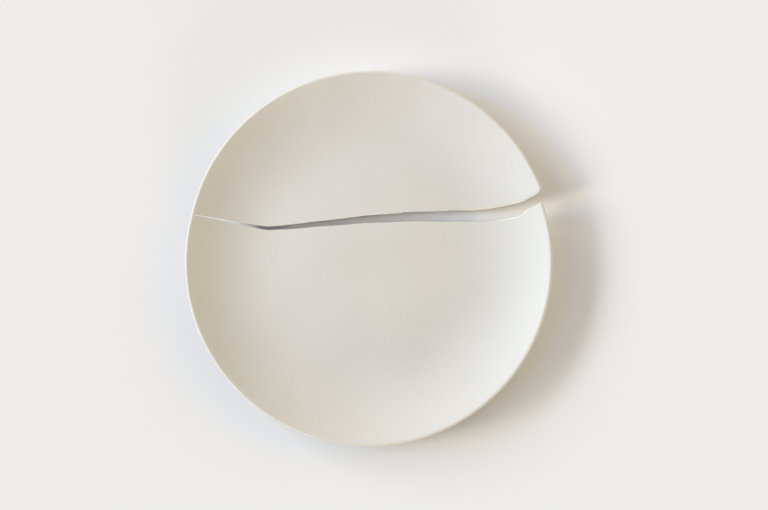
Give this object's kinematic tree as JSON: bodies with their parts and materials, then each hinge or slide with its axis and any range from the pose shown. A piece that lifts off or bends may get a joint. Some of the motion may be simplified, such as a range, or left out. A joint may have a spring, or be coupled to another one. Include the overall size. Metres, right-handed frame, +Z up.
{
  "type": "broken plate",
  "caption": "Round glazed dinner plate on a foot ring, broken across its floor, with the small piece swung open from the large piece at one end of the break.",
  "frame": {"origin": "under the middle of the two pieces together, on the surface that their foot rings stand on", "axes": "+X along the break, from the end where the pieces touch to the end where they stand apart; +Y from the large piece to the small piece; +Z up"},
  "size_m": [0.27, 0.2754, 0.0248],
  "materials": {
    "glaze": "satin"
  },
  "bodies": {
    "root": {"large_piece": "glaze", "small_piece": "glaze"}
  },
  "joints": []
}
